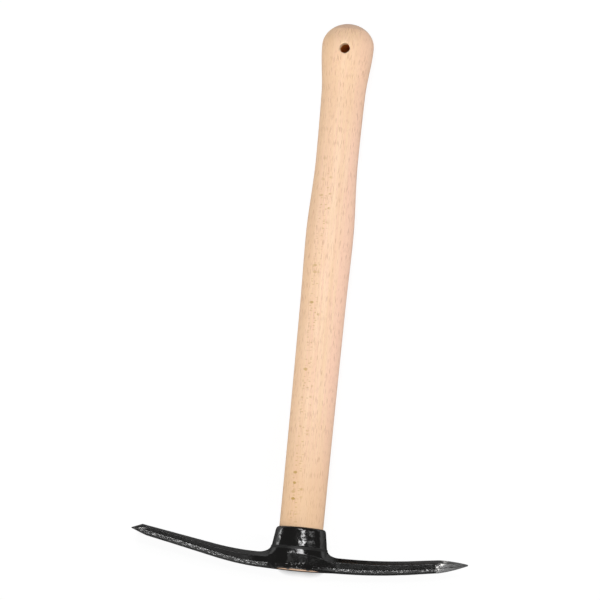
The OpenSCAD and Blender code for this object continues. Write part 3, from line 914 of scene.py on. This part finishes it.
class HeadForm:
    """Sections of the forged head at a distance from the eye's axis."""

    def __init__(self, sizes):
        self.s = sizes
        self.collar_foot_w = sizes.eye_width + 2 * sizes.collar_foot_wall
        self.collar_foot_d = sizes.eye_rim + 2 * sizes.collar_side_wall
        self.collar_w = sizes.eye_width + 2 * sizes.rim_wall
        self.collar_d = sizes.eye_rim + 2 * sizes.rim_wall
        self.cheek_d = sizes.eye_foot + 2 * sizes.cheek_wall
        self.foot_flat = sizes.eye_foot / 2 + sizes.foot_rim
        self.arm_top = sizes.arm_height - sizes.eye_height
        self.arm_mid = self.arm_top - sizes.arm_height / 2
        self.shoulder = -sizes.collar_height
        self.web_drop = self.shoulder - self.arm_top
        self.web_end = self.collar_foot_w / 2 + sizes.web_reach
        self.bevel_at = sizes.chisel_reach - sizes.bevel_length
        self.point_at = sizes.point_reach - sizes.point_length

    def web(self, x):
        q = held((self.web_end - x) / self.s.web_reach)
        return self.web_drop * (1 - math.sqrt(1 - q * q))

    def eye_share(self, x):
        start = self.s.cheek_width / 2
        return 1 - ease((x - start) / (self.s.eye_reach - start))

    def collar_half(self, x):
        q = held(2 * x / self.collar_foot_w)
        return self.collar_foot_d / 2 * math.sqrt(1 - q * q)

    def chisel_mid(self, x):
        s = self.s
        return self.arm_mid + bend(x, s.chisel_bend_at, s.chisel_bend_radius, s.chisel_sweep)

    def chisel_half(self, x):
        share = held((x - self.web_end) / (self.bevel_at - self.web_end))
        return mix(self.s.arm_height, self.s.chisel_height, share) / 2

    def chisel_section(self, x):
        """Top, foot, half thickness, chamfer and half flat of the chisel arm, then its lower chamfer and flat."""
        s = self.s
        t = held((x - self.bevel_at) / s.bevel_length)
        along = held((x - s.eye_reach) / (s.chisel_reach - s.eye_reach))
        foot = self.chisel_mid(x) - self.chisel_half(x) + s.bevel_lift * t
        edge_top = self.chisel_mid(s.chisel_reach) - s.chisel_height / 2 + s.bevel_lift + s.chisel_edge
        bevel_top = self.chisel_mid(self.bevel_at) + s.chisel_height / 2
        top = self.chisel_mid(x) + self.chisel_half(x) if x < self.bevel_at else mix(bevel_top, edge_top, t)
        half = mix(s.arm_thickness, s.chisel_width, along ** FLARE_LATENESS) / 2
        chamfer = min(mix(s.chamfer, s.blade_chamfer, along), CHAMFER_SHARE * (top - foot))
        root = (s.arm_thickness - s.arm_flat) / 2
        under = min(mix(s.chamfer, s.blade_under, along), UNDER_SHARE * (top - foot))
        flat = half - mix(root, s.blade_chamfer, along)
        return top, foot, half, chamfer, flat, under, half - under * mix(root / s.chamfer, 1.0, along)

    def point_section(self, x):
        """The same of the point arm."""
        s = self.s
        t = held((x - self.point_at) / s.point_length)
        along = held((x - self.web_end) / (self.point_at - self.web_end))
        full = 1 - t ** POINT_FULLNESS
        mid = self.arm_mid + bend(x, s.point_bend_at, s.point_bend_radius, s.point_sweep)
        high = mix(s.tip_size, mix(s.arm_height, s.point_height, along), full)
        deep = mix(s.tip_size, mix(s.arm_thickness, s.point_thickness, along), full)
        chamfer = min(s.chamfer * high / s.arm_height, CHAMFER_SHARE * high)
        flat = s.arm_flat / s.arm_thickness * deep / 2
        return mid + high / 2, mid - high / 2, deep / 2, chamfer, flat, chamfer, flat

    def ring(self, x):
        """Closed ring of points round the bar at a signed distance from the eye's axis."""
        far = abs(x)
        section = self.chisel_section if x < 0 else self.point_section
        top, foot, half, chamfer, flat, under, under_flat = section(far)
        share = self.eye_share(far)
        web = self.web(far)
        top += web
        half = mix(half, self.cheek_d / 2, share)
        foot_edge = foot + under
        top_edge = top - mix(chamfer, self.s.cheek_slope, share) - web * (1 - share)
        most = half - min(LEAST_LAND, half / 4)
        top_half = min(most, math.hypot(self.collar_half(far), flat))
        foot_half = min(most, mix(under_flat, self.foot_flat, share))
        outline = [
            Vector(p) for p in (
                (half, foot_edge), (half, top_edge), (top_half, top), (-top_half, top),
                (-half, top_edge), (-half, foot_edge), (-foot_half, foot), (foot_half, foot),
            )
        ]
        points = rounded(outline, min(self.s.edge_round, ROUND_SHARE * (top - foot)))
        return [Vector((x, p.y, p.x)) for p in points]

    def oval(self, y, w, d):
        turn = 2 * math.pi / COLLAR_SIDES
        return [
            Vector((w / 2 * math.cos(turn * i), y, d / 2 * math.sin(turn * i))) for i in range(COLLAR_SIDES)
        ]

    def collar_ring(self, y, inset):
        up = (y - self.shoulder) / self.s.collar_height
        return self.oval(
            y, mix(self.collar_foot_w, self.collar_w, up) - 2 * inset,
            mix(self.collar_foot_d, self.collar_d, up) - 2 * inset,
        )

    def eye_depth(self, y):
        return mix(self.s.eye_rim, self.s.eye_foot, -y / self.s.eye_height)


def rounded(outline, r):
    """Outline with rounded corners, stepped along its faces."""
    count = len(outline)

    def outward(a, b):
        edge = (b - a).normalized()
        return Vector((edge.y, -edge.x))

    corners = []
    for i, corner in enumerate(outline):
        before = outward(outline[i - 1], corner)
        after = outward(corner, outline[(i + 1) % count])
        centre = corner - r * (before + after) / (1 + before.dot(after))
        arc = [
            centre + r * before.lerp(after, k / CORNER_STEPS).normalized() for k in range(CORNER_STEPS + 1)
        ]
        corners.append(arc)
    points = []
    for i, arc in enumerate(corners):
        points += arc
        start, end = arc[-1], corners[(i + 1) % count][0]
        steps = FACE_STEPS[i]
        points += [start.lerp(end, k / steps) for k in range(1, steps)]
    return points


def skin(name, rings):
    """Closed object skinned over rings that follow each other."""
    shape = bmesh.new()
    rows = [[shape.verts.new(point) for point in ring] for ring in rings]
    for row, after in zip(rows, rows[1:]):
        for i in range(len(row)):
            j = (i + 1) % len(row)
            shape.faces.new((row[i], row[j], after[j], after[i]))
    shape.faces.new(rows[0])
    shape.faces.new(rows[-1])
    bmesh.ops.recalc_face_normals(shape, faces=shape.faces)
    return linked(name, mesh_of(name, shape))


def spread(start, end, step):
    """Values from start to end, evenly spread at about a step."""
    count = max(1, math.ceil(abs(end - start) / step))
    return [mix(start, end, i / count) for i in range(count + 1)]


def forged_solid(form):
    """Bar and collar joined, with the eye cut through."""
    s = form.s
    places = (
        -s.chisel_reach, -form.bevel_at, -form.web_end, -form.collar_foot_w / 2,
        form.collar_foot_w / 2, form.web_end, form.point_at, s.point_reach,
    )
    xs = [-s.chisel_reach]
    for start, end in zip(places, places[1:]):
        xs += spread(start, end, RING_STEP)[1:]
    bar = skin("bar", [form.ring(x) for x in xs])
    sunk = form.shoulder - RING_STEP / 3
    wall = [form.collar_ring(y, 0.0) for y in spread(sunk, -s.rim_drop, RING_STEP)]
    rim = []
    for i in range(1, RIM_STEPS + 1):
        a = math.pi / 2 * i / RIM_STEPS
        rim.append(form.collar_ring(s.rim_drop * (math.sin(a) - 1), s.rim_round * (1 - math.cos(a))))
    buried = form.oval(form.shoulder - form.web_drop / 2, form.collar_foot_w, form.collar_foot_d)
    collar = skin("collar", [buried, *wall, *rim])
    levels = spread(-s.eye_height - OVERRUN, OVERRUN, EYE_STEP)
    eye = skin("eye", [form.oval(y, s.eye_width, form.eye_depth(y)) for y in levels])
    for tool, operation in ((collar, "UNION"), (eye, "DIFFERENCE")):
        modifier = bar.modifiers.new(operation, "BOOLEAN")
        modifier.object = tool
        modifier.operation = operation
        modifier.solver = "EXACT"
    mesh = evaluated_mesh(bar)
    for tool in (collar, eye):
        bpy.data.objects.remove(tool)
    return mesh


def forge_marks(mesh, form):
    """Sinks the hollows and dents of forging in to the skin, and notes where the scale is roughest."""
    s = form.s
    normals = [Vector(item.vector) for item in mesh.vertex_normals]
    scale = mesh.attributes.new("forge_scale", "FLOAT", "POINT")
    for vertex, normal in zip(mesh.vertices, normals):
        p = vertex.co.copy()
        if p.x < 0:
            section, end, up_from = form.chisel_section, s.chisel_reach, CHISEL_UP_FROM
        else:
            section, end, up_from = form.point_section, s.point_reach, POINT_UP_FROM
        foot, under = section(min(abs(p.x), end))[1:6:4]
        down, up = -normal.y, (p.y - foot) / under
        scale.data[vertex.index].value = ease((down - DOWN_FROM) / DOWN_RUN) * ease((up - up_from) / UP_RUN)
        inside = (2 * p.x / s.eye_width) ** 2 + (2 * p.z / form.eye_depth(p.y)) ** 2
        if inside < EYE_WALL:
            continue
        thin = held((end - abs(p.x)) / FADE)
        hollow = 0.5 + 0.5 * noise.noise(p / SWELL_SPACING)
        pit = 0.5 + 0.5 * noise.noise(p / DENT_SPACING + DENT_SHIFT)
        vertex.co = p - normal * thin * (s.forge_swell * hollow + s.forge_dent * pit)


def head_mesh(sizes, material):
    """Forged head as one closed mesh in the part's frame."""
    form = HeadForm(sizes)
    mesh = forged_solid(form)
    forge_marks(mesh, form)
    mesh.transform(Matrix.Translation(RIM))
    mesh.materials.clear()
    mesh.materials.append(material)
    return mesh


# Operators


class HANDPICK_OT_handle(bpy.types.Operator):
    """Build the beech handle"""

    bl_idname = "hand_pick.handle"
    bl_label = "Handle"

    def execute(self, context):
        pick = context.scene.hand_pick
        tree = handle_tree(beech_material(pick.finishes, pick.handle))
        mesh = evaluated_mesh(carrier_with_tree("handle_loft", tree, tree_values(pick.handle, pick.wedges)))
        if open_edges_and_volume(mesh)[1] < 0:
            mesh.flip_normals()
        smooth_shaded(mesh, SHARP_WOOD)
        check_closed(mesh, "The handle")
        new_piece("beech_handle", mesh, "beech", "handle")
        return {"FINISHED"}


class HANDPICK_OT_head(bpy.types.Operator):
    """Build the forged head"""

    bl_idname = "hand_pick.head"
    bl_label = "Head"

    def execute(self, context):
        pick = context.scene.hand_pick
        mesh = head_mesh(pick.head, lacquer_material(pick.finishes, pick.head))
        smooth_shaded(mesh, SHARP_STEEL)
        check_closed(mesh, "The head")
        new_piece("forged_head", mesh, "black_lacquer", "pick_head")
        return {"FINISHED"}


class HANDPICK_OT_wedges(bpy.types.Operator):
    """Build the wooden wedge and the two steel wedges"""

    bl_idname = "hand_pick.wedges"
    bl_label = "Wedges"

    EDGE_STEPS = 2

    def execute(self, context):
        pick = context.scene.hand_pick
        values = tree_values(pick.handle, pick.wedges)
        wood, rolled = wedge_wood_material(pick.finishes), wedge_steel_material(pick.finishes)
        for name, shape, material, slot, node in (
            ("hardwood_wedge", wooden_wedge, wood, "wedge_wood", "wooden_wedge"),
            ("chisel_side_wedge", chisel_side_wedge, rolled, "wedge_steel", "steel_wedge_chisel_side"),
            ("point_side_wedge", point_side_wedge, rolled, "wedge_steel", "steel_wedge_point_side"),
        ):
            carrier = carrier_with_tree(name + "_form", wedge_tree(name, material, shape), values)
            edges = carrier.modifiers.new("Broken edges", "BEVEL")
            edges.width, edges.segments = pick.wedges.edge_break, self.EDGE_STEPS
            mesh = evaluated_mesh(carrier)
            check_closed(mesh, name)
            new_piece(name, mesh, slot, node)
        return {"FINISHED"}


class HANDPICK_OT_stage(bpy.types.Operator):
    """Set up the floor, the lights and the camera"""

    bl_idname = "hand_pick.stage"
    bl_label = "Stage"

    # Soft lamps that light without a reflection, and small lamps that the lacquer reflects:
    # name, place, place it faces, width, height, power
    SOFT_LAMPS = (
        ("key_over_handle", (-0.1, 0.6, 1.75), (-0.1, 0.6, 0.0), 0.34, 1.3, 1.2),
        ("right_panel", (1.5, -0.3, 1.2), (0.0, 0.0, 0.0), 1.4, 1.4, 12.2),
        ("left_panel", (-1.6, 0.8, 1.2), (0.0, 0.0, 0.0), 1.4, 1.4, 4.0),
    )
    GLINT_LAMPS = (
        ("collar_lamp", (0.24, 0.1, 1.5), (0.24, 0.1, 0.0), 0.5, 0.1, 4.6),
        ("shoulder_lamp", (-0.045, 0.55, 1.5), (-0.045, 0.55, 0.0), 0.4, 0.28, 7.2),
        ("eye_foot_lamp", (-0.28, -1.2, 1.42), (0.0, -0.23, 0.03), 0.14, 0.14, 4.5),
        ("cheek_lamp", (-0.22, -0.13, 1.75), (-0.22, -0.13, 0.0), 0.1, 0.14, 0.06),
        ("right_strip", (1.27, 0.1, 1.51), (0.0, 0.0, 0.0), 0.07, 0.8, 1.2),
        ("left_low_strip", (-2.0, 0.0, 0.22), (0.0, 0.0, 0.05), 0.6, 0.2, 3.0),
        # Row of lamps that the lower edges of the arms reflect
        *(
            (f"foot_lamp_{i}", (-1.4 + 0.36 * i, -1.9, 0.36), (-0.1, -0.2, 0.03), 0.2, 0.24, 4.8 - 0.4 * i)
            for i in range(6)
        ),
    )
    SKY = 0.16
    FLOOR_HALF = 8.0
    # Glow of the floor where it is seen or mirrored, share of its colour that takes light there, and the
    # reach of the shadow under the piece: close for the camera, wide and deeper in the lacquer
    GLOW, LIT_SHARE = 0.92, 0.12
    CLOSE, WIDE, DEEPER = 0.006, 0.12, 8.0
    SENSOR = 36.0

    def execute(self, context):
        pick = context.scene.hand_pick
        context.scene.view_settings.view_transform = "Standard"
        self.make_floor(pick.finishes)
        self.make_world(context.scene)
        for lamp in self.SOFT_LAMPS:
            self.make_lamp(*lamp).visible_glossy = False
        for lamp in self.GLINT_LAMPS:
            self.make_lamp(*lamp)
        self.make_camera(context.scene, pick.view)
        return {"FINISHED"}

    def make_floor(self, finish):
        shape = bmesh.new()
        corners = ((-1, -1), (1, -1), (1, 1), (-1, 1))
        shape.faces.new([shape.verts.new((x * self.FLOOR_HALF, y * self.FLOOR_HALF, 0.0)) for x, y in corners])
        mesh = mesh_of("floor", shape)
        floor = linked("floor", mesh)
        material = bpy.data.materials.new("pale_floor")
        mesh.materials.append(material)
        graph = new_graph(material)
        path = graph.wires(graph.node("ShaderNodeLightPath"))
        mirrored = path["Is Glossy Ray"] + path["Is Transmission Ray"]
        seen = graph.math("ADD", path["Is Camera Ray"], mirrored, clamp=True)
        close, wide = (
            graph.wire("ShaderNodeAmbientOcclusion", {"Distance": reach}, "AO", samples=8)
            for reach in (self.CLOSE, self.WIDE)
        )
        wide = graph.math("POWER", wide, self.DEEPER)
        contact = graph.wire("ShaderNodeMix", {0: path["Is Camera Ray"], 2: wide, 3: close})
        dim = graph.tint(contact, (0.0, 0.0, 0.0), [self.LIT_SHARE * c for c in finish.floor])
        glow = {"Color": (1.0, 1.0, 1.0), "Strength": contact * self.GLOW}
        plain, shadow = (graph.wire("ShaderNodeBsdfDiffuse", {"Color": shade}) for shade in (finish.floor, dim))
        white = graph.wire("ShaderNodeAddShader", {0: shadow, 1: graph.wire("ShaderNodeEmission", glow)})
        shown = graph.wire("ShaderNodeMixShader", {0: seen, 1: plain, 2: white})
        graph.node("ShaderNodeOutputMaterial", {"Surface": shown})

    def make_world(self, scene):
        scene.world = bpy.data.worlds.new("studio")
        graph = new_graph(scene.world)
        sky = graph.wire("ShaderNodeBackground", {"Color": (1.0, 1.0, 1.0), "Strength": self.SKY})
        graph.node("ShaderNodeOutputWorld", {"Surface": sky})

    def make_lamp(self, name, place, faced, width, height, power):
        data = bpy.data.lights.new(name, "AREA")
        data.shape = "RECTANGLE"
        data.size, data.size_y, data.energy = width, height, power
        lamp = linked(name, data)
        lamp.location = place
        lamp.rotation_euler = (Vector(faced) - Vector(place)).to_track_quat("-Z", "Y").to_euler()
        return lamp

    def make_camera(self, scene, view):
        data = bpy.data.cameras.new("camera")
        data.lens, data.sensor_width = view.lens, self.SENSOR
        flat = math.cos(view.dip)
        towards = Vector((math.sin(view.swing) * flat, -math.sin(view.dip), math.cos(view.swing) * flat))
        up = (Vector((0.0, 1.0, 0.0)) - towards * towards.y).normalized()
        right = up.cross(towards)
        picture_right = math.sin(view.roll) * up + math.cos(view.roll) * right
        picture_up = math.cos(view.roll) * up - math.sin(view.roll) * right
        axes = Matrix((picture_right, picture_up, towards)).transposed().to_4x4()
        scene.camera = linked("camera", data)
        scene.camera.matrix_world = Matrix.Translation(Vector(view.aim) + towards * view.distance) @ axes


class HANDPICK_PT_panel(bpy.types.Panel):
    """Lists what builds the hand pick"""

    bl_idname = "HANDPICK_PT_panel"
    bl_label = "Hand Pick"
    bl_space_type = "VIEW_3D"
    bl_region_type = "UI"
    bl_category = "Hand Pick"

    def draw(self, context):
        for operator in OPERATORS:
            self.layout.operator(operator.bl_idname)


OPERATORS = (HANDPICK_OT_handle, HANDPICK_OT_head, HANDPICK_OT_wedges, HANDPICK_OT_stage)
CLASSES = (
    HandleSizes, HeadSizes, WedgeSizes, Finishes, StageView, HandPick, *OPERATORS, HANDPICK_PT_panel,
)


def register():
    for item in CLASSES:
        bpy.utils.register_class(item)
    bpy.types.Scene.hand_pick = bpy.props.PointerProperty(type=HandPick)


def unregister():
    del bpy.types.Scene.hand_pick
    for item in reversed(CLASSES):
        bpy.utils.unregister_class(item)


def main():
    register()
    bpy.ops.hand_pick.handle()
    bpy.ops.hand_pick.head()
    bpy.ops.hand_pick.wedges()
    bpy.ops.hand_pick.stage()


if __name__ == "__main__":
    main()
